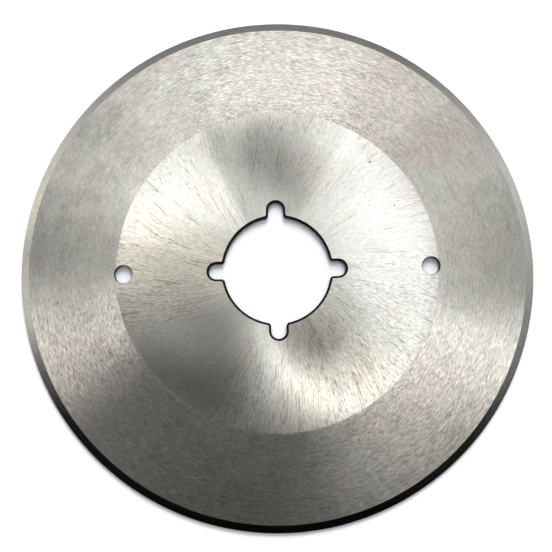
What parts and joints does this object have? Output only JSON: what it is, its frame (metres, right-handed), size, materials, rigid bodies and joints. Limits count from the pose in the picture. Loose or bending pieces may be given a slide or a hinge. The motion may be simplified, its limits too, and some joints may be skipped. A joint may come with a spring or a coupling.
{
  "type": "rotary cutter blade",
  "caption": "Flat round cutter blade, taper ground on both faces to a double bevelled rim, with a round bore notched at its wall and small pin holes beside it.",
  "frame": {"origin": "middle of the bore, on the lower face", "axes": "+Z along the bore's axis, up through the blade; X through the two pin holes"},
  "size_m": [0.135, 0.135, 0.0015],
  "materials": {
    "ground_steel": "satin"
  },
  "bodies": {
    "root": {"blade": "ground_steel"}
  },
  "joints": []
}
